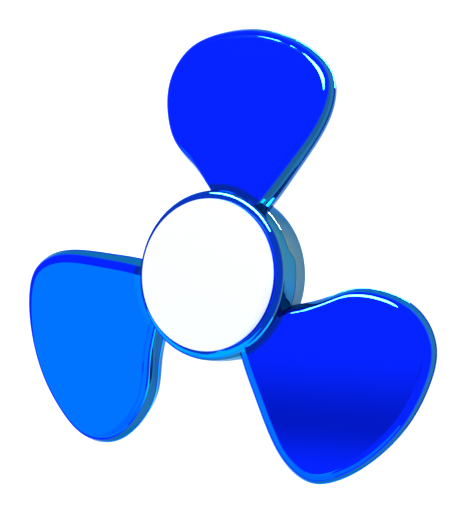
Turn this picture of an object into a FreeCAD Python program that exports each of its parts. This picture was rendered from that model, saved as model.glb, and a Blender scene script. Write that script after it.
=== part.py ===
import FreeCAD, Part
import math
import os
import Sketcher

# Three-blade finger spinner: a two-part moulded body turns on a 608 ball bearing, and a
# finger cap is pressed into each end of the bearing's bore.
#
# Frame: +Z up, the spinner lies flat. The origin is the middle of the rear cap's outer
# face, on the spin axis. Sub-parts that come as a front and rear pair are drawn about the
# hub's middle plane, and the rear one is the same piece turned over.
# Nodes: caps, bearing rings, balls, cage halves, cage rivets, shields, snap rings, shells.

V = FreeCAD.Vector
X_AXIS = V(1, 0, 0)
Z_AXIS = V(0, 0, 1)

# Driving dimensions in millimetres and degrees.
DIMENSIONS = [
    # finger caps
    ("cap_radius", 11.7),
    ("cap_thickness", 1.6),
    ("cap_shoulder", 1.35),
    ("cap_gap", 0.2),
    ("collar_radius", 5.6),
    ("stem_reach", 3.2),
    ("stem_core_radius", 2.4),
    ("stem_lead", 0.3),
    # hub of the two shells
    ("hub_height", 7.7),
    ("hub_front_radius", 13.08),
    ("hub_seam_radius", 13.23),
    ("hub_widest_height", 6.05),
    ("hub_rear_radius", 13.0),
    ("hub_shoulder", 1.05),
    ("lip_radius", 10.2),
    # 608 bearing, with the usual seven 5/32 inch balls
    ("bearing_radius", 11.0),
    ("bearing_bore", 4.0),
    ("bearing_width", 7.0),
    ("bearing_chamfer", 0.25),
    ("pitch_radius", 7.5),
    ("ball_radius", 1.984),
    ("race_radius", 2.02),
    ("race_play", 0.01),
    ("inner_land_radius", 6.05),
    ("outer_land_radius", 8.95),
    ("shield_seat_radius", 9.55),
    ("shield_seat_height", 2.5),
    ("shield_sheet", 0.3),
    ("shield_dish", 0.4),
    ("shield_bore", 6.15),
    ("shield_step_radius", 7.6),
    ("snap_groove_radius", 9.8),
    ("snap_groove_low", 2.8),
    ("snap_groove_high", 3.2),
    ("snap_ring_radius", 9.6),
    ("snap_wire_radius", 0.17),
    ("snap_opening", 24.0),
    # ball cage
    ("cage_inner_radius", 6.6),
    ("cage_outer_radius", 8.4),
    ("cage_sheet", 0.3),
    ("cage_play", 0.08),
    ("rivet_radius", 0.3),
    ("rivet_head_radius", 0.5),
    ("rivet_head_height", 0.2),
    # blades: slabs with drafted edges, thicker at the root, leaning back and pitched
    ("blade_axis_height", 7.52),
    ("blade_rake", 6.3),
    ("blade_pitch", 6.2),
    ("root_station", 4.0),
    ("root_thickness", 5.84),
    ("tip_station", 45.0),
    ("tip_thickness", 2.33),
    ("blade_draft", 25.0),
    ("blade_shoulder", 1.6),
    # parting line of the shells and the pegs that locate them
    ("seam_gap", 0.1),
    ("seam_rise", 0.15),
    ("peg_radius", 1.2),
    ("peg_height", 0.9),
    ("peg_play", 0.05),
    ("peg_station", 19.0),
]

BALLS = 7
BLADES = 3
FIRST_BLADE = 90.0

# Blade outline in millimetres, seen from the front with the blade pointing along +X:
# from inside the hub, out along the bulging trailing edge, round the tip and back.
BLADE_OUTLINE = [
    (10.2, 2.5), (12.15, 5.25), (14.95, 9.25), (17.5, 13.95), (21.95, 17.55), (28.0, 19.1),
    (33.7, 16.85), (36.8, 11.9), (38.45, 5.6), (38.25, -1.9), (36.6, -7.55), (33.65, -11.45),
    (29.1, -12.55), (23.6, -11.35), (18.0, -9.0), (13.55, -7.0), (10.05, -5.15),
]

# Parting line, in degrees from a blade's axis: it lies in the blade's middle plane from
# SEAM_LEAVES to SEAM_MEETS, and steps to the next blade's plane round SEAM_STEP_MIDDLE.
SEAM_MEETS = 42.0
SEAM_LEAVES = -30.0
SEAM_STEP_MIDDLE = 58.0
SEAM_STEP_HALF = 5.0
SEAM_INNER_RADIUS = 9.0

doc = FreeCAD.newDocument("spinner")
sheet = doc.addObject("Spreadsheet::Sheet", "Dimensions")


def fill_sheet():
    """Write every driving dimension to the sheet, with its name as the cell's alias."""
    for row, (alias, value) in enumerate(DIMENSIONS, start=1):
        sheet.set(f"A{row}", alias)
        sheet.set(f"B{row}", str(value))
        sheet.setAlias(f"B{row}", alias)
    doc.recompute()


def size(alias):
    """A driving dimension's value, for the shapes that are worked out in code."""
    return float(getattr(sheet, alias))


def cell(alias):
    """A driving dimension's name in an expression."""
    return f"Dimensions.{alias}"


def bind(obj, **properties):
    """Bind properties of an object to expressions of the sheet's cells."""
    for name, expression in properties.items():
        obj.setExpression(name, expression)
    return obj


# ---------------------------------------------------------------- sketches and bodies


def origin_plane(body, role):
    """One of a body's own origin planes."""
    return [f for f in body.Origin.OriginFeatures if f.Role == role][0]


def new_body(label):
    """An empty PartDesign body."""
    body = doc.addObject("PartDesign::Body", label)
    body.Label = label
    return body


def half_section(body, name):
    """A sketch on the body's XZ plane: sketch x is the radius and sketch y is height."""
    sketch = body.newObject("Sketcher::SketchObject", name)
    sketch.AttachmentSupport = [(origin_plane(body, "XZ_Plane"), "")]
    sketch.MapMode = "FlatFace"
    return sketch


def draw_polygon(sketch, corners):
    """Closed polygon whose corners are (radius, height) expressions of the sheet."""
    count = len(corners)
    for i in range(count):
        turn = 2 * math.pi * i / count
        step = 2 * math.pi * (i + 1) / count
        start = V(10 + math.cos(turn), math.sin(turn), 0)
        end = V(10 + math.cos(step), math.sin(step), 0)
        sketch.addGeometry(Part.LineSegment(start, end))
    for i in range(count):
        sketch.addConstraint(Sketcher.Constraint("Coincident", i, 2, (i + 1) % count, 1))
    for i, (radius, height) in enumerate(corners):
        for kind, expression in (("DistanceX", radius), ("DistanceY", height)):
            index = sketch.addConstraint(Sketcher.Constraint(kind, -1, 1, i, 1, 1.0 + i))
            sketch.setExpression(f"Constraints[{index}]", expression)


def draw_circle(sketch, x, radius):
    """Circle on the sketch's x axis, with its centre and radius bound to the sheet."""
    circle = sketch.addGeometry(Part.Circle(V(7, 0, 0), Z_AXIS, 1))
    sketch.addConstraint(Sketcher.Constraint("PointOnObject", circle, 3, -1))
    place = sketch.addConstraint(Sketcher.Constraint("DistanceX", -1, 1, circle, 3, 7.0))
    sketch.setExpression(f"Constraints[{place}]", x)
    size_index = sketch.addConstraint(Sketcher.Constraint("Radius", circle, 1.0))
    sketch.setExpression(f"Constraints[{size_index}]", radius)


def revolve(body, corners):
    """Turn a polygon of (radius, height) expressions once round the body's Z axis."""
    sketch = half_section(body, body.Name + "_section")
    draw_polygon(sketch, corners)
    feature = body.newObject("PartDesign::Revolution", body.Name + "_turned")
    feature.Profile = sketch
    feature.ReferenceAxis = (sketch, ["V_Axis"])
    feature.Angle = 360
    doc.recompute()
    return feature


def groove_raceway(body, centre, radius):
    """Cut a ball groove of round section round the body, and check that it cut."""
    before = body.Shape.Volume
    sketch = half_section(body, body.Name + "_race_section")
    draw_circle(sketch, centre, radius)
    feature = body.newObject("PartDesign::Groove", body.Name + "_raceway")
    feature.Profile = sketch
    feature.ReferenceAxis = (sketch, ["V_Axis"])
    feature.Angle = 360
    doc.recompute()
    if body.Shape.Volume >= before:
        raise RuntimeError(f"{body.Label}: the raceway cuts nothing")


def round_rims(body, rims, radius):
    """Fillet the body's circular edges that lie at the given (radius, height) pairs."""
    names = []
    for index, edge in enumerate(body.Shape.Edges, start=1):
        if not isinstance(edge.Curve, Part.Circle):
            continue
        for rim_radius, height in rims:
            near_radius = abs(edge.Curve.Radius - rim_radius) < 1e-4
            if near_radius and abs(edge.Curve.Center.z - height) < 1e-4:
                names.append(f"Edge{index}")
    if len(names) != len(rims):
        raise RuntimeError(f"{body.Label}: a rim was not found")
    base = body.Tip
    feature = body.newObject("PartDesign::Fillet", body.Name + "_rounded")
    feature.Base = (base, names)
    bind(feature, Radius=radius)
    doc.recompute()


def place_side(obj, rear):
    """Stand a piece drawn about the hub's middle plane in the frame, or turn it over."""
    turn = FreeCAD.Rotation(X_AXIS, 180 if rear else 0)
    obj.Placement = FreeCAD.Placement(V(0, 0, 0), turn)
    middle = f"{cell('hub_height')} / 2 + {cell('cap_gap')} + {cell('cap_thickness')}"
    obj.setExpression("Placement.Base.z", middle)


# ------------------------------------------------------------------------ finger caps


def make_cap(label, rear):
    """Finger cap: a disc with a rounded shoulder, a collar and a hollow press-fit stem."""
    body = new_body(label)
    under = f"{cell('hub_height')} / 2 + {cell('cap_gap')}"
    top = f"{under} + {cell('cap_thickness')}"
    ring_face = f"{cell('bearing_width')} / 2"
    tip = f"{ring_face} - {cell('stem_reach')}"
    lead = cell("stem_lead")
    stem = cell("bearing_bore")
    core = cell("stem_core_radius")
    revolve(body, [
        ("0", under),
        (core, under),
        (core, tip),
        (f"{stem} - {lead}", tip),
        (stem, f"{tip} + {lead}"),
        (stem, ring_face),
        (cell("collar_radius"), ring_face),
        (cell("collar_radius"), under),
        (cell("cap_radius"), under),
        (cell("cap_radius"), top),
        ("0", top),
    ])
    height = size("hub_height") / 2 + size("cap_gap") + size("cap_thickness")
    round_rims(body, [(size("cap_radius"), height)], cell("cap_shoulder"))
    place_side(body, rear)
    return body


# ---------------------------------------------------------------------- ball bearing


def mirrored(corners):
    """Follow a run of corners above the middle plane with the same run below it."""
    return corners + [(radius, f"-({height})") for radius, height in reversed(corners)]


def make_inner_ring():
    """Inner ring of the bearing, with chamfered bore and a deep ball groove."""
    body = new_body("bearing_inner_ring")
    face = f"{cell('bearing_width')} / 2"
    chamfer = cell("bearing_chamfer")
    bore = cell("bearing_bore")
    revolve(body, mirrored([
        (bore, f"{face} - {chamfer}"),
        (f"{bore} + {chamfer}", face),
        (cell("inner_land_radius"), face),
    ]))
    centre = (f"{cell('pitch_radius')} - {cell('ball_radius')} - {cell('race_play')}"
              f" + {cell('race_radius')}")
    groove_raceway(body, centre, cell("race_radius"))
    place_side(body, False)
    return body


def make_outer_ring():
    """Outer ring of the bearing, with its ball groove, shield seats and snap grooves."""
    body = new_body("bearing_outer_ring")
    face = f"{cell('bearing_width')} / 2"
    chamfer = cell("bearing_chamfer")
    rim = cell("bearing_radius")
    seat = cell("shield_seat_radius")
    groove = cell("snap_groove_radius")
    revolve(body, mirrored([
        (rim, f"{face} - {chamfer}"),
        (f"{rim} - {chamfer}", face),
        (seat, face),
        (seat, cell("snap_groove_high")),
        (groove, cell("snap_groove_high")),
        (groove, cell("snap_groove_low")),
        (seat, cell("snap_groove_low")),
        (seat, cell("shield_seat_height")),
        (cell("outer_land_radius"), cell("shield_seat_height")),
    ]))
    centre = (f"{cell('pitch_radius')} + {cell('ball_radius')} + {cell('race_play')}"
              f" - {cell('race_radius')}")
    groove_raceway(body, centre, cell("race_radius"))
    place_side(body, False)
    return body


def make_shield(label, rear):
    """Pressed sheet shield that closes the gap between the bearing's rings."""
    body = new_body(label)
    low = cell("shield_seat_height")
    sheet_top = f"{low} + {cell('shield_sheet')}"
    dish = cell("shield_dish")
    step = cell("shield_step_radius")
    revolve(body, [
        (cell("shield_bore"), f"{low} + {dish}"),
        (step, f"{low} + {dish}"),
        (f"{step} + {dish}", low),
        (cell("shield_seat_radius"), low),
        (cell("shield_seat_radius"), sheet_top),
        (f"{step} + {dish} + {cell('shield_sheet')} / 3", sheet_top),
        (f"{step} + {cell('shield_sheet')} / 3", f"{sheet_top} + {dish}"),
        (cell("shield_bore"), f"{sheet_top} + {dish}"),
    ])
    place_side(body, rear)
    return body


def make_snap_ring(label, rear):
    """Open wire ring that holds a shield in the outer ring's groove."""
    wire = doc.addObject("Part::Torus", label)
    wire.Label = label
    place_side(wire, rear)
    side = "-1" if rear else "1"
    lift = f"({cell('snap_groove_low')} + {cell('snap_groove_high')}) / 2"
    middle = f"{cell('hub_height')} / 2 + {cell('cap_gap')} + {cell('cap_thickness')}"
    return bind(wire, Radius1=cell("snap_ring_radius"), Radius2=cell("snap_wire_radius"),
                Angle3=f"360 - {cell('snap_opening')}",
                **{"Placement.Base.z": f"{middle} + {side} * {lift}"})


def ball_angle(index):
    """Angle of a ball round the bearing, in degrees."""
    return 360.0 * index / BALLS


def put_on_pitch_circle(obj, angle, lift):
    """Put a piece on the balls' pitch circle, lift above the piece's own base plane."""
    turn = math.radians(angle)
    bind(obj, **{
        "Placement.Base.x": f"{cell('pitch_radius')} * {math.cos(turn):.12f}",
        "Placement.Base.y": f"{cell('pitch_radius')} * {math.sin(turn):.12f}",
        "Placement.Base.z": lift,
    })
    return obj


def sphere_on_pitch_circle(name, index, radius, lift="0 mm"):
    """Sphere at one of the balls' places."""
    ball = doc.addObject("Part::Sphere", name)
    bind(ball, Radius=radius)
    return put_on_pitch_circle(ball, ball_angle(index), lift)


def make_balls():
    """The seven balls, each its own sub-part."""
    middle = f"{cell('hub_height')} / 2 + {cell('cap_gap')} + {cell('cap_thickness')}"
    balls = []
    for index in range(BALLS):
        label = f"ball_{index + 1}"
        ball = sphere_on_pitch_circle(label, index, cell("ball_radius"), middle)
        ball.Label = label
        balls.append(ball)
    return balls


def cylinder(name, radius, height, base="0 mm"):
    """Cylinder about Z with its radius, height and base height bound to the sheet."""
    solid = doc.addObject("Part::Cylinder", name)
    return bind(solid, Radius=radius, Height=height, **{"Placement.Base.z": base})


def fuse(name, pieces):
    """Join several objects into one."""
    joined = doc.addObject("Part::MultiFuse", name)
    joined.Shapes = pieces
    return joined


def boolean(kind, name, base, tool):
    """Part::Cut or Part::Common of two objects."""
    result = doc.addObject(kind, name)
    result.Base = base
    result.Tool = tool
    return result


def make_cage_half(label, rear):
    """Pressed cage half: a flat ribbon with seven half pockets, cut for its rivets."""
    dome = f"{cell('ball_radius')} + {cell('cage_play')} + {cell('cage_sheet')}"
    ribbon = cylinder(label + "_ribbon", cell("cage_outer_radius"), cell("cage_sheet"))
    domes = []
    pockets = []
    holes = []
    for index in range(BALLS):
        tail = f"{index + 1}"
        domes.append(sphere_on_pitch_circle(f"{label}_dome_{tail}", index, dome))
        pocket = sphere_on_pitch_circle(f"{label}_pocket_{tail}", index,
                                        f"{cell('ball_radius')} + {cell('cage_play')}")
        pockets.append(pocket)
        hole = cylinder(f"{label}_hole_{tail}", cell("rivet_radius"), cell("cage_sheet"))
        between = ball_angle(index + 0.5)
        holes.append(put_on_pitch_circle(hole, between, "0 mm"))
    pressed = fuse(label + "_pressed", [ribbon] + domes)
    outer = cylinder(label + "_outer", cell("cage_outer_radius"), dome)
    inner = cylinder(label + "_inner", cell("cage_inner_radius"), dome)
    band = boolean("Part::Cut", label + "_band", outer, inner)
    trimmed = boolean("Part::Common", label + "_trimmed", pressed, band)
    removed = fuse(label + "_removed", pockets + holes)
    half = boolean("Part::Cut", label, trimmed, removed)
    half.Label = label
    place_side(half, rear)
    return half


def make_cage_rivets():
    """Seven rivets that hold the cage halves together, each a shank with two heads."""
    rivets = []
    for index in range(BALLS):
        name = f"rivet_{index + 1}"
        thick = cell("cage_sheet")
        head = cell("rivet_head_height")
        shank = cylinder(name + "_shank", cell("rivet_radius"), f"2 * {thick}")
        top = cylinder(name + "_top", cell("rivet_head_radius"), head)
        bottom = cylinder(name + "_bottom", cell("rivet_head_radius"), head)
        between = ball_angle(index + 0.5)
        put_on_pitch_circle(shank, between, f"-{thick}")
        put_on_pitch_circle(top, between, thick)
        put_on_pitch_circle(bottom, between, f"-{thick} - {head}")
        rivets.append(fuse(name, [shank, top, bottom]))
    group = doc.addObject("Part::Compound", "cage_rivets")
    group.Label = "cage_rivets"
    group.Links = rivets
    place_side(group, False)
    return group


# ---------------------------------------------------------------- body of the spinner


def make_hub():
    """Drafted ring round the bearing, with rounded front and rear shoulders."""
    body = new_body("hub_blank")
    half = f"{cell('hub_height')} / 2"
    lip = cell("lip_radius")
    widest = (f"{cell('hub_widest_height')} - {half}"
              f" - {cell('cap_gap')} - {cell('cap_thickness')}")
    revolve(body, [
        (lip, f"-{half}"),
        (cell("hub_rear_radius"), f"-{half}"),
        (cell("hub_seam_radius"), widest),
        (cell("hub_front_radius"), half),
        (lip, half),
    ])
    reach = size("hub_height") / 2
    rims = [(size("hub_front_radius"), reach), (size("hub_rear_radius"), -reach)]
    round_rims(body, rims, cell("hub_shoulder"))
    place_side(body, False)
    return body


def blade_section(name, height, inset):
    """Outline of one blade at a height, drawn in by an inset and closed inside the hub."""
    outline = Part.BSplineCurve()
    outline.interpolate([V(x, y, 0) for x, y in BLADE_OUTLINE])
    points = []
    for x, y in BLADE_OUTLINE:
        along = outline.tangent(outline.parameter(V(x, y, 0)))[0]
        points.append(V(x + inset * along.y, y - inset * along.x, 0))
    curve = Part.BSplineCurve()
    curve.interpolate(points)
    sketch = doc.addObject("Sketcher::SketchObject", name)
    sketch.addGeometry(curve)
    sketch.addGeometry(Part.LineSegment(points[-1], points[0]))
    sketch.Placement.Base.z = height
    return sketch


def make_blade():
    """Blade slab: edges drafted from the middle plane, tapering, with rounded shoulders."""
    rise = size("root_thickness") / 2
    inset = rise * math.tan(math.radians(size("blade_draft")))
    drafted = doc.addObject("Part::Loft", "blade_drafted")
    drafted.Sections = [blade_section("blade_rear_outline", -rise, inset),
                        blade_section("blade_outline", 0, 0),
                        blade_section("blade_front_outline", rise, inset)]
    drafted.Solid = True
    drafted.Ruled = True
    reach = cell("tip_station")
    root = f"{cell('root_thickness')} / 2"
    tip = f"{cell('tip_thickness')} / 2"
    wedge = doc.addObject("Part::Wedge", "blade_taper")
    bind(wedge, Ymin=cell("root_station"), Ymax=reach,
         Xmin=f"-{reach}", Xmax=reach, X2min=f"-{reach}", X2max=reach,
         Zmin=f"-{root}", Zmax=root, Z2min=f"-{tip}", Z2max=tip)
    wedge.Placement = FreeCAD.Placement(V(0, 0, 0), FreeCAD.Rotation(Z_AXIS, -90))
    tapered = boolean("Part::Common", "blade_tapered", drafted, wedge)
    doc.recompute()
    rounded = doc.addObject("Part::Fillet", "blade_rounded")
    rounded.Base = tapered
    rounded.Edges = face_rims(tapered.Shape)
    return rounded


def face_rims(slab):
    """Fillet entries for the long rims of the slab's front and rear faces."""
    shoulder = size("blade_shoulder")
    rims = []
    for index, edge in enumerate(slab.Edges, start=1):
        on_a_face = abs(edge.BoundBox.Center.z) > size("tip_thickness") / 4
        if on_a_face and edge.Length > size("tip_station"):
            rims.append((index, shoulder, shoulder))
    if len(rims) != 2:
        raise RuntimeError("the blade's face rims were not found")
    return rims


def tilt(turn):
    """Placement of a blade drawn along +X: raked back, pitched, and turned round Z."""
    rake = FreeCAD.Rotation(V(0, 1, 0), size("blade_rake"))
    pitch = FreeCAD.Rotation(X_AXIS, -size("blade_pitch"))
    place = FreeCAD.Rotation(Z_AXIS, turn)
    return FreeCAD.Placement(V(0, 0, size("blade_axis_height")), place * rake * pitch)


def make_blades():
    """The blades, all the same, a third of a turn apart."""
    pattern = make_blade()
    doc.recompute()
    blades = []
    for index in range(BLADES):
        blade = doc.addObject("Part::Feature", f"blade_{index + 1}")
        blade.Shape = pattern.Shape.copy()
        blade.Placement = tilt(FIRST_BLADE + 360.0 * index / BLADES)
        blades.append(blade)
    return blades


def seam_slope(angle):
    """Rise of the parting surface per millimetre of radius, at an angle from a blade."""
    rake = -math.tan(math.radians(size("blade_rake")))
    pitch = -math.tan(math.radians(size("blade_pitch")))

    def plane(degrees):
        turn = math.radians(degrees)
        return rake * math.cos(turn) + pitch * math.sin(turn)

    if SEAM_LEAVES <= angle <= SEAM_MEETS:
        return plane(angle)
    share = (angle - SEAM_STEP_MIDDLE + SEAM_STEP_HALF) / (2 * SEAM_STEP_HALF)
    share = min(max(share, 0.0), 1.0)
    smooth = share * share * (3 - 2 * share)
    return plane(SEAM_MEETS) * (1 - smooth) + plane(SEAM_LEAVES) * smooth


def spaced(first, last, count):
    """Evenly spaced values from first to last, both included."""
    return [first + (last - first) * i / (count - 1) for i in range(count)]


def seam_block(name, lift):
    """Everything above the parting surface: radial rules swept upwards, sector by sector."""
    base = size("blade_axis_height") + size("seam_rise") + lift
    reach = size("tip_station")
    top = V(0, 0, reach)

    def point(radius, angle, blade):
        turn = math.radians(FIRST_BLADE + 360.0 * blade / BLADES + angle)
        return V(radius * math.cos(turn), radius * math.sin(turn),
                 base + radius * seam_slope(angle))

    def patch(blade, angles):
        edges = []
        for radius in (SEAM_INNER_RADIUS, reach):
            points = [point(radius, angle, blade) for angle in angles]
            curve = Part.BSplineCurve()
            curve.interpolate(points)
            edges.append(curve.toShape())
        return Part.makeRuledSurface(edges[0], edges[1]).extrude(top)

    def plane_patch(blade):
        half_width = math.radians(SEAM_MEETS - SEAM_LEAVES) / 2
        corners = [point(SEAM_INNER_RADIUS, SEAM_LEAVES, blade),
                   point(reach, SEAM_LEAVES, blade),
                   point(reach / math.cos(half_width), (SEAM_MEETS + SEAM_LEAVES) / 2, blade),
                   point(reach, SEAM_MEETS, blade),
                   point(SEAM_INNER_RADIUS, SEAM_MEETS, blade)]
        wire = Part.makePolygon(corners + [corners[0]])
        return Part.Face(wire).extrude(top)

    begins = SEAM_STEP_MIDDLE - SEAM_STEP_HALF
    ends = SEAM_STEP_MIDDLE + SEAM_STEP_HALF
    next_leaves = 360.0 / BLADES + SEAM_LEAVES
    step = [SEAM_MEETS, (SEAM_MEETS + begins) / 2]
    step += spaced(begins, ends, 9)
    step += spaced(ends, next_leaves, 4)[1:]
    sectors = []
    for blade in range(BLADES):
        sectors.append(plane_patch(blade))
        sectors.append(patch(blade, step))
    block = doc.addObject("Part::Feature", name)
    block.Shape = sectors[0].multiFuse(sectors[1:])
    return block


def make_pegs(name, radius_expression):
    """Round posts across the parting line, one in each blade."""
    posts = []
    for index in range(BLADES):
        post = doc.addObject("Part::Cylinder", f"{name}_{index + 1}")
        bind(post, Radius=radius_expression, Height=f"2 * {cell('peg_height')}")
        turn = tilt(FIRST_BLADE + 360.0 * index / BLADES)
        foot = V(size("peg_station"), 0, -size("peg_height"))
        post.Placement = turn.multiply(FreeCAD.Placement(foot, FreeCAD.Rotation()))
        posts.append(post)
    return fuse(name, posts)


def make_shells():
    """Front and rear shell: hub and blades, bored for the bearing and parted at the seam."""
    solid = fuse("spinner_solid", [make_hub()] + make_blades())
    bottom = f"{cell('cap_gap')} + {cell('cap_thickness')}"
    pocket_base = f"{bottom} + ({cell('hub_height')} - {cell('bearing_width')}) / 2"
    bore = cylinder("lip_bore", cell("lip_radius"), cell("hub_height"), bottom)
    pocket = cylinder("bearing_pocket", cell("bearing_radius"), cell("bearing_width"),
                      pocket_base)
    bored = boolean("Part::Cut", "bored_solid", solid, fuse("bearing_space", [bore, pocket]))
    half_gap = size("seam_gap") / 2
    above = seam_block("above_seam", half_gap)
    below = seam_block("above_rear_shell", -half_gap)
    sockets = make_pegs("peg_sockets", f"{cell('peg_radius')} + {cell('peg_play')}")
    pegs = make_pegs("pegs", cell("peg_radius"))
    front_blank = boolean("Part::Common", "front_blank", bored, above)
    rear_blank = boolean("Part::Cut", "rear_blank", bored, below)
    front = boolean("Part::Cut", "front_shell", front_blank, sockets)
    rear = fuse("rear_shell", [rear_blank, pegs])
    front.Label = "front_shell"
    rear.Label = "rear_shell"
    return [front, rear]


# ------------------------------------------------------------------ checks and export


def check(pieces):
    """Stop if any object failed to compute or any sub-part is null or invalid."""
    for obj in doc.Objects:
        if "Invalid" in obj.State or "Error" in obj.State:
            raise RuntimeError(f"{obj.Name} failed: {obj.State}")
    for piece in pieces:
        if piece.Shape.isNull() or not piece.Shape.isValid():
            raise RuntimeError(f"{piece.Label} has no valid shape")
        if not piece.Shape.Solids:
            raise RuntimeError(f"{piece.Label} has no solid")


def export(pieces):
    """Write each sub-part to its own STEP file."""
    os.makedirs("parts", exist_ok=True)
    for piece in pieces:
        piece.Shape.exportStep(f"parts/{piece.Label}.step")
        count = len(piece.Shape.Solids)
        print(f"{piece.Label}: {piece.Shape.Volume:.2f} mm3, {count} solid(s)")


fill_sheet()
parts = [
    make_cap("front_cap", False),
    make_cap("rear_cap", True),
    make_inner_ring(),
    make_outer_ring(),
    make_shield("front_shield", False),
    make_shield("rear_shield", True),
    make_snap_ring("front_snap_ring", False),
    make_snap_ring("rear_snap_ring", True),
    make_cage_half("front_cage_half", False),
    make_cage_half("rear_cage_half", True),
    make_cage_rivets(),
]
parts += make_balls()
parts += make_shells()
doc.recompute()
check(parts)
export(parts)
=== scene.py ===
import math

import bmesh
import bpy
import numpy as np
from mathutils import Matrix, Vector


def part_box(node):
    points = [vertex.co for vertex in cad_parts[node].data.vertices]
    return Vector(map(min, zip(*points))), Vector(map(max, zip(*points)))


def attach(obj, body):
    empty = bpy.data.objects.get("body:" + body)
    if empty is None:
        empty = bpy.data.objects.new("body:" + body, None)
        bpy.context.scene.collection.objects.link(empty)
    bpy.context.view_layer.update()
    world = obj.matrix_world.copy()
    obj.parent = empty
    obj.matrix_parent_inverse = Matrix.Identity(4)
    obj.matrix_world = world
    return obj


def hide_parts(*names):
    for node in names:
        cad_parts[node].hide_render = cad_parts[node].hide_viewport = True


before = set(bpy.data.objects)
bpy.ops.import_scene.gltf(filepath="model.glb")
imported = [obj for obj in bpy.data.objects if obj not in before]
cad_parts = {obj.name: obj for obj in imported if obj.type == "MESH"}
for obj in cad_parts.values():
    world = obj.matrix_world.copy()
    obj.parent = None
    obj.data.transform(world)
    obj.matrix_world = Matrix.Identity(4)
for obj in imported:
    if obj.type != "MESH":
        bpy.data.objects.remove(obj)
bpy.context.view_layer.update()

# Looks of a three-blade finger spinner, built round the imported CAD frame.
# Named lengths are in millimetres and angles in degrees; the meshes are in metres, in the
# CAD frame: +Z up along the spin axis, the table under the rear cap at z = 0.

MM = 0.001

# ------------------------------------------------------------------ sizes from the frame


def low(node, axis):
    """Lowest coordinate of a CAD node along an axis, in millimetres."""
    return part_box(node)[0][axis] / MM


def high(node, axis):
    """Highest coordinate of a CAD node along an axis, in millimetres."""
    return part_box(node)[1][axis] / MM


TOP = high("front_cap", 2)
MIDDLE = TOP / 2
CAP_RADIUS = high("front_cap", 1)
HUB_FRONT = high("front_shell", 2)
HUB_HEIGHT = 2 * (HUB_FRONT - MIDDLE)
HUB_REAR = HUB_FRONT - HUB_HEIGHT
RING_FACE = high("bearing_outer_ring", 2)
RING_RADIUS = high("bearing_outer_ring", 1)

# ------------------------------------------------------------------ design of the shells

BLADES = 3
FIRST_BLADE = 90.0
LIP_RADIUS = 10.2
HUB_FRONT_RADIUS = 13.08
HUB_WIDEST_RADIUS = 13.23
HUB_WIDEST_HEIGHT = 6.05
HUB_REAR_RADIUS = 13.0
HUB_SHOULDER = 1.05
LIP_EDGE = 0.12
HUB_MARGIN = 0.07

BLADE_AXIS_HEIGHT = 7.52
BLADE_RAKE = 6.3
BLADE_PITCH = 6.2
THICKNESS_STATIONS = (4.0, 45.0)
THICKNESS_AT_STATIONS = (5.84, 2.33)
BLADE_DRAFT = 25.0
BLADE_SHOULDER = 1.6
BLADE_ROOT_RADIUS = 12.0
BLADE_OUTLINE = [
    (10.2, 2.5), (12.15, 5.25), (14.95, 9.25), (17.5, 13.95), (21.95, 17.55), (28.0, 19.1),
    (33.7, 16.85), (36.8, 11.9), (38.45, 5.6), (38.25, -1.9), (36.6, -7.55), (33.65, -11.45),
    (29.1, -12.55), (23.6, -11.35), (18.0, -9.0), (13.55, -7.0), (10.05, -5.15),
]

SEAM_GAP = 0.1
SEAM_RISE = 0.15
SEAM_EDGE = 0.09
SEAM_MEETS = 42.0
SEAM_LEAVES = -30.0
SEAM_STEP_MIDDLE = 58.0
SEAM_STEP_HALF = 5.0

TURN_STEPS = 480
OUTLINE_STEPS = 260
ROOT_STEPS = 13
SEARCH_STEPS = 3999
ROUND_STEPS = 14
EDGE_STEPS = 4
WALL_STEPS = 7
SHARP_ANGLE = 28.0

# ------------------------------------------------------------------------- mesh helpers


def new_mesh(name, vertices, faces):
    """Mesh object from millimetre vertices, linked to the scene, normals outwards."""
    mesh = bpy.data.meshes.new(name)
    mesh.from_pydata([[c * MM for c in v] for v in vertices], [], faces)
    mesh.validate()
    work = bmesh.new()
    work.from_mesh(mesh)
    bmesh.ops.recalc_face_normals(work, faces=work.faces)
    work.to_mesh(mesh)
    work.free()
    piece = bpy.data.objects.new(name, mesh)
    bpy.context.scene.collection.objects.link(piece)
    return piece


def arc(centre, radius, start, end, steps=ROUND_STEPS):
    """Points on an arc in a section's plane, both ends included."""
    angles = np.radians(np.linspace(start, end, steps + 1))
    return [(centre[0] + radius * math.cos(a), centre[1] + radius * math.sin(a))
            for a in angles]


def turned(name, section, steps=TURN_STEPS):
    """Closed ring: section(angle) gives its closed (radius, height) loop at that angle."""
    vertices = []
    count = None
    for i in range(steps):
        angle = 360.0 * i / steps
        loop = section(angle)
        count = len(loop)
        turn = math.radians(angle)
        vertices += [(r * math.cos(turn), r * math.sin(turn), z) for r, z in loop]
    faces = []
    for i in range(steps):
        here = i * count
        there = ((i + 1) % steps) * count
        for j in range(count):
            k = (j + 1) % count
            faces.append((here + j, there + j, there + k, here + k))
    return new_mesh(name, vertices, faces)


def bake_modifiers(piece):
    """Replace a piece's mesh by its mesh with all modifiers applied."""
    graph = bpy.context.evaluated_depsgraph_get()
    mesh = bpy.data.meshes.new_from_object(piece.evaluated_get(graph))
    piece.modifiers.clear()
    piece.data = mesh


def join_solids(base, others):
    """Boolean union of closed meshes into the base piece."""
    for other in others:
        step = base.modifiers.new("union", "BOOLEAN")
        step.operation = "UNION"
        step.solver = "EXACT"
        step.object = other
        bake_modifiers(base)
        bpy.data.objects.remove(other)


def smooth(piece):
    """Smooth shading that keeps flats flat and creases sharp."""
    mesh = piece.data
    mesh.shade_smooth()
    mesh.set_sharp_from_angle(angle=math.radians(SHARP_ANGLE))
    step = piece.modifiers.new("normals", "WEIGHTED_NORMAL")
    step.mode = "FACE_AREA"
    step.weight = 100
    step.keep_sharp = True
    bake_modifiers(piece)


# ---------------------------------------------------------------------------- the shells


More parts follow.
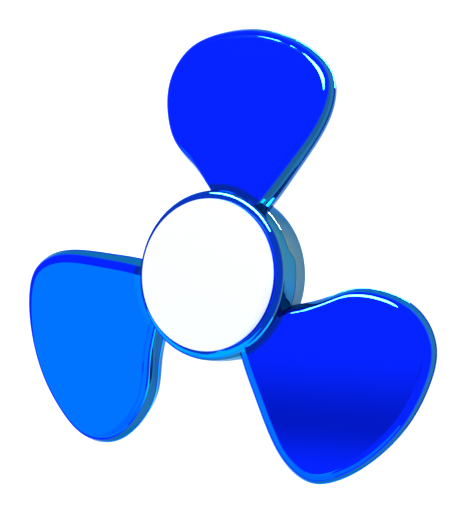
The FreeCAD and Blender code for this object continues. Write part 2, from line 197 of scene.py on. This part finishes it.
def seam_slope(angle):
    """Rise of the parting surface per millimetre of radius, at an angle round the axis."""
    sector = 360.0 / BLADES
    angle = (angle - FIRST_BLADE - SEAM_LEAVES) % sector + SEAM_LEAVES
    rake = -math.tan(math.radians(BLADE_RAKE))
    pitch = -math.tan(math.radians(BLADE_PITCH))

    def plane(degrees):
        turn = math.radians(degrees)
        return rake * math.cos(turn) + pitch * math.sin(turn)

    if angle <= SEAM_MEETS:
        return plane(angle)
    share = (angle - SEAM_STEP_MIDDLE + SEAM_STEP_HALF) / (2 * SEAM_STEP_HALF)
    share = min(max(share, 0.0), 1.0)
    blend = share * share * (3 - 2 * share)
    return plane(SEAM_MEETS) * (1 - blend) + plane(SEAM_LEAVES) * blend


def seam_height(radius, angle, side):
    """Height of a shell's mating face; side is 1 for the front shell, -1 for the rear."""
    level = BLADE_AXIS_HEIGHT + SEAM_RISE + side * SEAM_GAP / 2
    return level + radius * seam_slope(angle)


def wall_radius(z):
    """Radius of the hub's drafted side wall at a height."""
    if z > HUB_WIDEST_HEIGHT:
        share = (z - HUB_WIDEST_HEIGHT) / (HUB_FRONT - HUB_WIDEST_HEIGHT)
        return HUB_WIDEST_RADIUS + (HUB_FRONT_RADIUS - HUB_WIDEST_RADIUS) * share
    share = (HUB_WIDEST_HEIGHT - z) / (HUB_WIDEST_HEIGHT - HUB_REAR)
    return HUB_WIDEST_RADIUS + (HUB_REAR_RADIUS - HUB_WIDEST_RADIUS) * share


def hub_section(side):
    """Section of the front (side 1) or rear (side -1) half of the hub, at an angle."""
    face = HUB_FRONT if side > 0 else HUB_REAR
    pocket = MIDDLE + side * (RING_FACE - MIDDLE)
    rim = HUB_FRONT_RADIUS if side > 0 else HUB_REAR_RADIUS
    lip = arc((LIP_RADIUS + LIP_EDGE, face - side * LIP_EDGE), LIP_EDGE,
              180, 180 - side * 90, EDGE_STEPS)
    shoulder = arc((rim - HUB_SHOULDER, face - side * HUB_SHOULDER), HUB_SHOULDER,
                   side * 90, 0)

    def section(angle):
        at_seam = seam_height(HUB_WIDEST_RADIUS, angle, side)
        top = shoulder[-1][1]
        edge = at_seam + side * SEAM_EDGE
        wall = [(wall_radius(z), z) for z in np.linspace(top, edge, WALL_STEPS + 1)[1:]]
        outer = wall_radius(edge)
        corner = arc((outer - SEAM_EDGE, edge), SEAM_EDGE, 0, -side * 90, EDGE_STEPS)[1:]
        inner = [(RING_RADIUS, seam_height(RING_RADIUS, angle, side))]
        return lip + shoulder + wall + corner + inner + [(RING_RADIUS, pocket),
                                                         (LIP_RADIUS, pocket)]
    return section


def natural_spline(points):
    """Natural cubic spline through points, by chord length: (length, position, slope)."""
    points = np.array(points, float)
    knots = np.concatenate([[0], np.cumsum(np.hypot(*np.diff(points, axis=0).T))])
    step = np.diff(knots)
    count = len(points)
    matrix = np.eye(count)
    right = np.zeros((count, 2))
    for i in range(1, count - 1):
        matrix[i, i - 1] = step[i - 1]
        matrix[i, i] = 2 * (step[i - 1] + step[i])
        matrix[i, i + 1] = step[i]
        rise = (points[i + 1] - points[i]) / step[i]
        run = (points[i] - points[i - 1]) / step[i - 1]
        right[i] = 6 * (rise - run)
    bend = np.linalg.solve(matrix, right)

    def at(t):
        i = int(np.clip(np.searchsorted(knots, t) - 1, 0, count - 2))
        a = (knots[i + 1] - t) / step[i]
        b = (t - knots[i]) / step[i]
        curve = ((a ** 3 - a) * bend[i] + (b ** 3 - b) * bend[i + 1]) * step[i] ** 2 / 6
        place = a * points[i] + b * points[i + 1] + curve
        tilt = ((3 * b * b - 1) * bend[i + 1] - (3 * a * a - 1) * bend[i]) * step[i] / 6
        return place, (points[i + 1] - points[i]) / step[i] + tilt
    return knots[-1], at


def blade_loop():
    """Outline samples, outwards normals (none along the buried root) of one blade."""
    length, at = natural_spline(BLADE_OUTLINE)
    search = np.linspace(0, length, SEARCH_STEPS + 1)
    inside = [np.hypot(*at(t)[0]) < BLADE_ROOT_RADIUS for t in search]
    first = length * inside.index(False) / SEARCH_STEPS
    last = length * (SEARCH_STEPS - inside[::-1].index(False)) / SEARCH_STEPS
    loop = []
    for t in np.linspace(first, last, OUTLINE_STEPS):
        place, slope = at(t)
        normal = np.array([slope[1], -slope[0]]) / np.hypot(*slope)
        loop.append((place, -normal))
    start = math.atan2(*loop[-1][0][::-1])
    end = math.atan2(*loop[0][0][::-1])
    for angle in np.linspace(start, end, ROOT_STEPS + 1)[1:-1]:
        place = BLADE_ROOT_RADIUS * np.array([math.cos(angle), math.sin(angle)])
        loop.append((place, np.zeros(2)))
    return loop


def half_thickness(x):
    """Half the blade's thickness at a distance along the blade."""
    return float(np.interp(x, THICKNESS_STATIONS, THICKNESS_AT_STATIONS)) / 2


def blade_matrix(index):
    """Placement of a blade drawn along +X: pitched, raked back and turned round Z."""
    turn = Matrix.Rotation(math.radians(FIRST_BLADE + 360.0 * index / BLADES), 4, "Z")
    rake = Matrix.Rotation(math.radians(BLADE_RAKE), 4, "Y")
    pitch = Matrix.Rotation(math.radians(-BLADE_PITCH), 4, "X")
    return Matrix.Translation((0, 0, BLADE_AXIS_HEIGHT * MM)) @ turn @ rake @ pitch


def blade_section(place, normal, side):
    """Edge section of a blade half at an outline point: (inset, height) from face to seam."""
    draft = math.tan(math.radians(BLADE_DRAFT))
    corner = BLADE_SHOULDER * math.tan(math.radians(90.0 - BLADE_DRAFT) / 2)
    width = half_thickness(place[0]) * draft + corner
    height = half_thickness(place[0] - width * normal[0])
    width = height * draft + corner
    section = []
    for tilt in np.radians(np.linspace(0.0, 90.0 - BLADE_DRAFT, ROUND_STEPS + 1)):
        inset = width - BLADE_SHOULDER * math.sin(tilt)
        drop = BLADE_SHOULDER * (1 - math.cos(tilt))
        taper = half_thickness(place[0] - inset * normal[0]) - height
        section.append((inset, side * (height + taper - drop)))
    mating = SEAM_RISE + side * SEAM_GAP / 2
    if side < 0:
        section.append((0.0, 0.0))
    for turn in np.radians(np.linspace(0, 90, EDGE_STEPS + 1)):
        z = mating + side * SEAM_EDGE * (1 - math.sin(turn))
        section.append((abs(z) * draft + SEAM_EDGE * (1 - math.cos(turn)), z))
    return section


def blade_half(name, index, side, loop):
    """Front or rear half of one blade: flat face, rounded shoulder, wall, mating face."""
    sections = [blade_section(place, normal, side) for place, normal in loop]
    vertices = []
    for level in range(len(sections[0])):
        for (place, normal), section in zip(loop, sections):
            inset, z = section[level]
            vertices.append((place[0] - inset * normal[0], place[1] - inset * normal[1], z))
    count = len(loop)
    levels = len(sections[0])
    faces = [tuple(range(count)), tuple(range((levels - 1) * count, levels * count))]
    for level in range(levels - 1):
        for i in range(count):
            j = (i + 1) % count
            faces.append((level * count + i, level * count + j,
                          (level + 1) * count + j, (level + 1) * count + i))
    piece = new_mesh(name, vertices, faces)
    piece.data.transform(blade_matrix(index))
    return piece


# The slant and hub marks tell the blue coat where to put its painted wall reflection and its
# painted hub shade.
def mark_regions(shell):
    """Mark each face corner: on the hub or not, and how far it slants from the mirror face."""
    mesh = shell.data
    slant = mesh.attributes.new("slant", "FLOAT", "CORNER")
    hub = mesh.attributes.new("hub", "FLOAT", "CORNER")
    to_blade = [blade_matrix(i).to_3x3().inverted() for i in range(BLADES)]
    for face in mesh.polygons:
        x, y = face.center[0] / MM, face.center[1] / MM
        on_hub = math.hypot(x, y) < HUB_WIDEST_RADIUS + HUB_MARGIN
        turn = math.degrees(math.atan2(y, x)) - FIRST_BLADE
        nearest = round(turn * BLADES / 360) % BLADES
        for corner in face.loop_indices:
            normal = mesh.corner_normals[corner].vector
            if not on_hub:
                normal = to_blade[nearest] @ normal
            slant.data[corner].value = math.degrees(math.acos(min(1.0, abs(normal[2]))))
            hub.data[corner].value = float(on_hub)


def make_shell(name, side):
    """One half of the spinner's body: half the hub joined to half of each blade."""
    loop = blade_loop()
    shell = turned(name, hub_section(side))
    blades = [blade_half(f"{name}_blade_{i}", i, side, loop) for i in range(BLADES)]
    join_solids(shell, blades)
    smooth(shell)
    mark_regions(shell)
    return shell


# ------------------------------------------------------------------------------ the caps

CAP_GAP = 0.2
CAP_SHOULDER = 1.35
CAP_EDGE = 0.15
COLLAR_RADIUS = 5.6
BORE_RADIUS = 4.0
STEM_CORE_RADIUS = 2.4
STEM_TIP = 0.3
STEM_REACH = 3.2


def make_cap(name, side):
    """Finger cap: face, rounded shoulder, underside, collar and stem with a hollow core."""
    def height(above):
        return MIDDLE + side * above

    face = TOP - MIDDLE
    under = HUB_FRONT + CAP_GAP - MIDDLE
    ring = RING_FACE - MIDDLE
    tip = ring - STEM_REACH
    outline = arc((CAP_RADIUS - CAP_SHOULDER, face - CAP_SHOULDER), CAP_SHOULDER, 90, 0)
    outline += arc((CAP_RADIUS - CAP_EDGE, under + CAP_EDGE), CAP_EDGE, 0, -90, EDGE_STEPS)
    outline += [(COLLAR_RADIUS, under), (COLLAR_RADIUS, ring), (BORE_RADIUS, ring),
                (BORE_RADIUS, tip + STEM_TIP), (BORE_RADIUS - STEM_TIP, tip),
                (STEM_CORE_RADIUS, tip), (STEM_CORE_RADIUS, under)]
    rings = [(r, height(z)) for r, z in outline]
    vertices = []
    for i in range(TURN_STEPS):
        turn = 2 * math.pi * i / TURN_STEPS
        vertices += [(r * math.cos(turn), r * math.sin(turn), z) for r, z in rings]
    count = len(rings)
    faces = []
    for i in range(TURN_STEPS):
        here = i * count
        there = ((i + 1) % TURN_STEPS) * count
        for j in range(count - 1):
            faces.append((here + j, there + j, there + j + 1, here + j + 1))
    faces.append(tuple(i * count for i in range(TURN_STEPS)))
    faces.append(tuple(i * count + count - 1 for i in range(TURN_STEPS)))
    cap = new_mesh(name, vertices, faces)
    smooth(cap)
    return cap


# ----------------------------------------------------------------------------- materials


def new_material(name):
    """Empty node material: (material, nodes, links, principled shader)."""
    material = bpy.data.materials.new(name)
    material.use_nodes = True
    nodes = material.node_tree.nodes
    links = material.node_tree.links
    return material, nodes, links, nodes["Principled BSDF"]


def add_bump(nodes, links, shader, scale, strength):
    """Fine procedural relief on a shader's normal; returns its noise."""
    place = nodes.new("ShaderNodeTexCoord")
    noise = nodes.new("ShaderNodeTexNoise")
    noise.inputs["Scale"].default_value = scale
    noise.inputs["Detail"].default_value = BUMP_DETAIL
    bump = nodes.new("ShaderNodeBump")
    bump.inputs["Strength"].default_value = strength
    bump.inputs["Distance"].default_value = BUMP_DEPTH
    links.new(place.outputs["Object"], noise.inputs["Vector"])
    links.new(noise.outputs["Fac"], bump.inputs["Height"])
    links.new(bump.outputs["Normal"], shader.inputs["Normal"])
    return noise


def mix_colours(nodes, links, factor, first, second):
    """Colour that goes from the first to the second as the factor goes from 0 to 1."""
    mix = nodes.new("ShaderNodeMix")
    mix.data_type = "RGBA"
    links.new(factor, mix.inputs[0])
    for socket, colour in ((mix.inputs[6], first), (mix.inputs[7], second)):
        if isinstance(colour, tuple):
            socket.default_value = (*colour, 1.0)
        else:
            links.new(colour, socket)
    return mix.outputs[2]


def soft_step(nodes, links, value, start, end):
    """Smooth step of a value from 0 at the start to 1 at the end."""
    step = nodes.new("ShaderNodeMapRange")
    step.interpolation_type = "SMOOTHSTEP"
    step.inputs["From Min"].default_value = start
    step.inputs["From Max"].default_value = end
    links.new(value, step.inputs["Value"])
    return step.outputs["Result"]


# Metallised blues, by region. The blade face blue is the coat's own colour; the other blues
# paint light into it: the wall blues are painted reflection, the hub face and root blues are
# painted shade, and the grazing blue is a painted sheen. The slants are in degrees from a
# blade's or the hub's face.
BLADE_FACE_BLUE = (0.0, 0.0145, 0.92)
# Painted reflection: the walls are coloured steel and teal to look as they do when they reflect
# the floor and studio, and the rear hub wall is greyer still.
BLADE_WALL_REFLECTION_BLUE = (0.01, 0.105, 0.27)
# Painted shade: the hub face is a darker navy than the blade faces.
HUB_FACE_SHADE_BLUE = (0.001, 0.035, 0.45)
FRONT_HUB_WALL_REFLECTION_BLUE = (0.032, 0.15, 0.24)
REAR_HUB_WALL_REFLECTION_BLUE = (0.11, 0.18, 0.185)
# Painted sheen: paler steel blue where a surface is seen at a grazing angle.
GRAZING_SHEEN_BLUE = (0.02, 0.15, 0.36)
# Slants over which the painted wall reflection takes over from the face blue.
FRONT_WALL_SLANT = (46.0, 63.0)
REAR_WALL_SLANT = (12.0, 40.0)
GRAZING = (0.64, 0.9)
# Painted shade: a navy ring on the blade faces round the hub, darkest at the roots; radii in
# millimetres.
ROOT_SHADE_BLUE = (0.0, 0.018, 0.33)
ROOT_SHADE_RING = (14.3, 13.8)
MIRROR_ROUGHNESS = 0.03
COAT_WEIGHT = 0.03
EDGE_TINT = (0.3, 0.5, 0.8)

BUMP_DETAIL = 3.0
BUMP_DEPTH = 0.01 * MM
PLASTIC_WHITE = (0.86, 0.86, 0.88)
PLASTIC_BUMP_SCALE = 900.0
PLASTIC_BUMP = 0.05
STEEL_BUMP = 0.2
STEEL_SPREAD = 0.3


def blue_metallised(name, hub_wall_reflection_blue, wall_slant):
    """Mirror-gloss blue metallised coat, deep blue on the faces, with painted light in its
    colour: navy painted shade at the roots and on the hub face, teal painted reflection on
    walls, a paler painted sheen at grazing angles.
    """
    material, nodes, links, shader = new_material(name)
    shader.inputs["Metallic"].default_value = 1.0
    shader.inputs["Roughness"].default_value = MIRROR_ROUGHNESS
    shader.inputs["Specular Tint"].default_value = (*EDGE_TINT, 1.0)
    shader.inputs["Coat Weight"].default_value = COAT_WEIGHT
    shader.inputs["Coat Roughness"].default_value = MIRROR_ROUGHNESS
    slant = nodes.new("ShaderNodeAttribute")
    slant.attribute_name = "slant"
    on_wall = soft_step(nodes, links, slant.outputs["Fac"], *wall_slant)
    hub = nodes.new("ShaderNodeAttribute")
    hub.attribute_name = "hub"
    on_hub = hub.outputs["Fac"]
    place = nodes.new("ShaderNodeTexCoord")
    flat = nodes.new("ShaderNodeVectorMath")
    flat.operation = "MULTIPLY"
    flat.inputs[1].default_value = (1.0, 1.0, 0.0)
    links.new(place.outputs["Object"], flat.inputs[0])
    reach = nodes.new("ShaderNodeVectorMath")
    reach.operation = "LENGTH"
    links.new(flat.outputs[0], reach.inputs[0])
    # Painted shade: darker ring round the hub on the blade faces.
    outer, inner = (radius * MM for radius in ROOT_SHADE_RING)
    in_root_shade = soft_step(nodes, links, reach.outputs["Value"], outer, inner)
    # Painted sheen: paler colour where the surface is seen at a grazing angle.
    aslant = nodes.new("ShaderNodeLayerWeight")
    aslant.inputs["Blend"].default_value = 0.5
    grazing_sheen = soft_step(nodes, links, aslant.outputs["Facing"], *GRAZING)
    # Painted reflection on the walls.
    wall = mix_colours(nodes, links, on_hub, BLADE_WALL_REFLECTION_BLUE, hub_wall_reflection_blue)
    face = mix_colours(nodes, links, in_root_shade, BLADE_FACE_BLUE, ROOT_SHADE_BLUE)
    # Painted shade on the hub face.
    face = mix_colours(nodes, links, on_hub, face, HUB_FACE_SHADE_BLUE)
    colour = mix_colours(nodes, links, on_wall, face, wall)
    colour = mix_colours(nodes, links, grazing_sheen, colour, GRAZING_SHEEN_BLUE)
    links.new(colour, shader.inputs["Base Color"])
    return material


def white_plastic():
    """Satin white moulded plastic with faint unevenness."""
    material, nodes, links, shader = new_material("white_plastic")
    shader.inputs["Base Color"].default_value = (*PLASTIC_WHITE, 1.0)
    shader.inputs["Roughness"].default_value = 0.35
    shader.inputs["Specular IOR Level"].default_value = 0.15
    add_bump(nodes, links, shader, PLASTIC_BUMP_SCALE, PLASTIC_BUMP)
    return material


def steel(name, colour, roughness, scale):
    """Bearing steel: brushed or ground, its roughness broken up by fine noise."""
    material, nodes, links, shader = new_material(name)
    shader.inputs["Base Color"].default_value = (*colour, 1.0)
    shader.inputs["Metallic"].default_value = 1.0
    noise = add_bump(nodes, links, shader, scale, STEEL_BUMP)
    spread = nodes.new("ShaderNodeMapRange")
    spread.inputs["To Min"].default_value = roughness * (1 - STEEL_SPREAD)
    spread.inputs["To Max"].default_value = roughness * (1 + STEEL_SPREAD)
    links.new(noise.outputs["Fac"], spread.inputs["Value"])
    links.new(spread.outputs["Result"], shader.inputs["Roughness"])
    return material


def paint(piece, material):
    """Give a piece or a CAD node one material all over."""
    piece.data.materials.clear()
    piece.data.materials.append(material)


# ------------------------------------------------------------------------ stage and light

# Flat cards stand round the spinner and glow only in its reflections. Corners are in
# millimetres, or (azimuth, zenith distance) in degrees for the cards that far() places.
SKY = 1.1
FLOOR_SIZE = 12.0
FLOOR_GREY = 0.6
FLOOR_GLOW = 0.9

WINDOW_RADIANCE = 10.8
WINDOW_COLOUR = (0.02, 1.0, 1.0)
LOW_WINDOW = [(204, 47.6), (285, 24.7), (285, 92), (204, 92)]
LOW_WINDOW_DISTANCE = 1600.0
GAP_WINDOW = [(-16, -54, 24), (12, -44, 24), (12, -24, 24), (5, -13, 24), (-4, -13, 24)]
NEAR_WINDOW = [(-30, -47, 80), (0, -47, 80), (15, -47, 45), (25, -47, 32), (45, -47, 28),
               (50, -25, 15)]
NEAR_WINDOW_FOOT = 8.5
NEAR_WINDOW_RADIANCE = 8.0

KEY_RADIANCE = 650.0
KEY_HEIGHT = 120.0
KEY = [(-115, 128), (-82, 128), (-44, 104), (25, 85), (35, 100), (15, 160), (-40, 200),
       (-143, 217), (-124, 165)]
SMALL_KEY = [(128, 68), (144, 68), (144, 77), (128, 77)]
SMALL_KEY_SPOT = (22.0, 1.0, 8.0)
SMALL_KEY_DISTANCE = 90.0
FLAG = [(-28, 42, 10), (0, 44, 10), (0, 44, 22), (-28, 42, 22)]

SCRIM_PLACE = (-130.0, -131.0, 1200.0)
SCRIM_TURN = 10.6
SCRIM = [(-300, -26), (300, -26), (300, 38), (-300, 38)]
SCRIM_SHADE = 0.45
SCRIM_DARKEST = 0.41


def direction(azimuth, elevation):
    """Unit vector at an azimuth (0 is +X, 90 is +Y) and an elevation."""
    a = math.radians(azimuth)
    e = math.radians(elevation)
    return Vector((math.cos(e) * math.cos(a), math.cos(e) * math.sin(a), math.sin(e)))


def floor():
    """Plain pale floor under the rear cap, glowing a little of itself."""
    bpy.ops.mesh.primitive_plane_add(size=FLOOR_SIZE, location=(0, 0, 0))
    plane = bpy.context.object
    plane.name = "floor"
    material, nodes, links, shader = new_material("pale_floor")
    shader.inputs["Base Color"].default_value = (FLOOR_GREY, FLOOR_GREY, FLOOR_GREY, 1.0)
    shader.inputs["Roughness"].default_value = 0.9
    shader.inputs["Specular IOR Level"].default_value = 0.0
    shader.inputs["Emission Color"].default_value = (1.0, 1.0, 1.0, 1.0)
    shader.inputs["Emission Strength"].default_value = FLOOR_GLOW
    paint(plane, material)


def far(corners, distance, spot=(0.0, 0.0, 0.0)):
    """Points at (azimuth, zenith distance) pairs, all at one distance from a spot."""
    return [Vector(spot) + direction(azimuth, 90.0 - zenith) * distance
            for azimuth, zenith in corners]


def card(name, places, radiance, colour=(1.0, 1.0, 1.0)):
    """Glowing card seen only in reflections: (object, its glow node, its output node)."""
    places = [Vector(place) * MM for place in places]
    mesh = bpy.data.meshes.new(name)
    mesh.from_pydata(places, [], [tuple(range(len(places)))])
    sheet = bpy.data.objects.new(name, mesh)
    bpy.context.scene.collection.objects.link(sheet)
    material = bpy.data.materials.new(name)
    material.use_nodes = True
    nodes = material.node_tree.nodes
    nodes.clear()
    glow = nodes.new("ShaderNodeEmission")
    glow.inputs["Color"].default_value = (*colour, 1.0)
    glow.inputs["Strength"].default_value = radiance
    surface = nodes.new("ShaderNodeOutputMaterial")
    material.node_tree.links.new(glow.outputs[0], surface.inputs["Surface"])
    paint(sheet, material)
    sheet.visible_camera = False
    sheet.visible_diffuse = False
    sheet.visible_shadow = False
    return sheet, glow, surface


def near_window():
    """Low window bent round the tips of two blades; its posts are (x, y, top)."""
    for i, posts in enumerate(zip(NEAR_WINDOW, NEAR_WINDOW[1:])):
        (x, y, top), (next_x, next_y, next_top) = posts
        places = [(x, y, NEAR_WINDOW_FOOT), (next_x, next_y, NEAR_WINDOW_FOOT),
                  (next_x, next_y, next_top), (x, y, top)]
        card(f"near_window_{i}", places, NEAR_WINDOW_RADIANCE, WINDOW_COLOUR)


def scrim():
    """Dark gauze overhead, densest along its middle, seen only in reflections."""
    sheet, dark, surface = card("scrim", [(x, y, 0) for x, y in SCRIM], 0.0)
    sheet.location = Vector(SCRIM_PLACE) * MM
    sheet.rotation_euler = (0, 0, math.radians(SCRIM_TURN))
    nodes = sheet.data.materials[0].node_tree.nodes
    links = sheet.data.materials[0].node_tree.links
    place = nodes.new("ShaderNodeTexCoord")
    across = nodes.new("ShaderNodeSeparateXYZ")
    links.new(place.outputs["Generated"], across.inputs[0])
    rising = soft_step(nodes, links, across.outputs["Y"], 0.0, SCRIM_DARKEST)
    falling = soft_step(nodes, links, across.outputs["Y"], 1.0, SCRIM_DARKEST)
    shade = nodes.new("ShaderNodeMath")
    shade.operation = "MULTIPLY"
    links.new(rising, shade.inputs[0])
    links.new(falling, shade.inputs[1])
    share = nodes.new("ShaderNodeMath")
    share.operation = "MULTIPLY"
    share.inputs[1].default_value = SCRIM_SHADE
    links.new(shade.outputs[0], share.inputs[0])
    clear = nodes.new("ShaderNodeBsdfTransparent")
    mix = nodes.new("ShaderNodeMixShader")
    links.new(share.outputs[0], mix.inputs[0])
    links.new(clear.outputs[0], mix.inputs[1])
    links.new(dark.outputs[0], mix.inputs[2])
    links.new(mix.outputs[0], surface.inputs["Surface"])


def sky(radiance):
    """Even pale surroundings."""
    world = bpy.data.worlds.new("studio")
    bpy.context.scene.world = world
    world.use_nodes = True
    background = world.node_tree.nodes["Background"]
    background.inputs["Color"].default_value = (1, 1, 1, 1)
    background.inputs["Strength"].default_value = radiance


# -------------------------------------------------------------------------------- camera

CAMERA_AZIMUTH = 9.05
CAMERA_ELEVATION = 58.27
CAMERA_ROLL = 84.94
CAMERA_DISTANCE = 467.9
CAMERA_AIM = (3.76, 3.69, 9.96)
LENS = 215.3
SENSOR_WIDTH = 36.0
NEAREST_SEEN = 10.0


def camera():
    """Long-lens camera over one side of the spinner, nearly in line with a blade."""
    data = bpy.data.cameras.new("camera")
    data.lens = LENS
    data.sensor_width = SENSOR_WIDTH
    data.clip_start = NEAREST_SEEN * MM
    eye = bpy.data.objects.new("camera", data)
    bpy.context.scene.collection.objects.link(eye)
    out = direction(CAMERA_AZIMUTH, CAMERA_ELEVATION)
    up = (Vector((0, 0, 1)) - out * out.z).normalized()
    right = up.cross(out)
    roll = math.radians(CAMERA_ROLL)
    turned_up = math.cos(roll) * up + math.sin(roll) * right
    turned_right = turned_up.cross(out)
    place = Vector(CAMERA_AIM) * MM + out * CAMERA_DISTANCE * MM
    axes = Matrix((turned_right, turned_up, out)).transposed().to_4x4()
    eye.matrix_world = Matrix.Translation(place) @ axes
    bpy.context.scene.camera = eye


# ------------------------------------------------------------------------------ assembly

camera()
floor()
sky(SKY)
card("low_window", far(LOW_WINDOW, LOW_WINDOW_DISTANCE), WINDOW_RADIANCE, WINDOW_COLOUR)
near_window()
card("gap_window", GAP_WINDOW, WINDOW_RADIANCE, WINDOW_COLOUR)
card("flag", FLAG, SKY)
card("key", [(x, y, KEY_HEIGHT) for x, y in KEY], KEY_RADIANCE)
card("small_key", far(SMALL_KEY, SMALL_KEY_DISTANCE, SMALL_KEY_SPOT), KEY_RADIANCE)
scrim()

bpy.context.scene.view_settings.view_transform = "Standard"

# Two copies of one coat that differ only in their painted wall reflection: greyer on the rear
# shell's hub wall, and starting at a lower slant there.
FRONT_BLUE = blue_metallised("front_blue_metallised_coat", FRONT_HUB_WALL_REFLECTION_BLUE,
                             FRONT_WALL_SLANT)
REAR_BLUE = blue_metallised("rear_blue_metallised_coat", REAR_HUB_WALL_REFLECTION_BLUE,
                            REAR_WALL_SLANT)
WHITE = white_plastic()

front_shell = make_shell("front_shell_skin", 1)
rear_shell = make_shell("rear_shell_skin", -1)
for shell, node, blue in ((front_shell, "front_shell", FRONT_BLUE),
                          (rear_shell, "rear_shell", REAR_BLUE)):
    paint(shell, blue)
    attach(shell, "rotor")
    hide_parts(node)

for node, side in (("front_cap", 1), ("rear_cap", -1)):
    cap = make_cap(node + "_skin", side)
    paint(cap, WHITE)
    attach(cap, "finger_caps")
    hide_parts(node)

RING_STEEL = steel("ground_ring_steel", (0.62, 0.63, 0.65), 0.18, 4000.0)
BALL_STEEL = steel("polished_ball_steel", (0.75, 0.76, 0.78), 0.05, 6000.0)
SHEET_STEEL = steel("pressed_sheet_steel", (0.5, 0.51, 0.53), 0.3, 3000.0)
WIRE_STEEL = steel("spring_wire_steel", (0.35, 0.36, 0.38), 0.35, 5000.0)
CAGE_STEEL = steel("pressed_cage_steel", (0.48, 0.47, 0.44), 0.35, 3000.0)
for node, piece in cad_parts.items():
    if "ball" in node:
        paint(piece, BALL_STEEL)
    elif "bearing" in node:
        paint(piece, RING_STEEL)
    elif "shield" in node:
        paint(piece, SHEET_STEEL)
    elif "snap" in node:
        paint(piece, WIRE_STEEL)
    elif "cage" in node:
        paint(piece, CAGE_STEEL)
    elif "shell" in node:
        paint(piece, FRONT_BLUE if "front" in node else REAR_BLUE)
    else:
        paint(piece, WHITE)
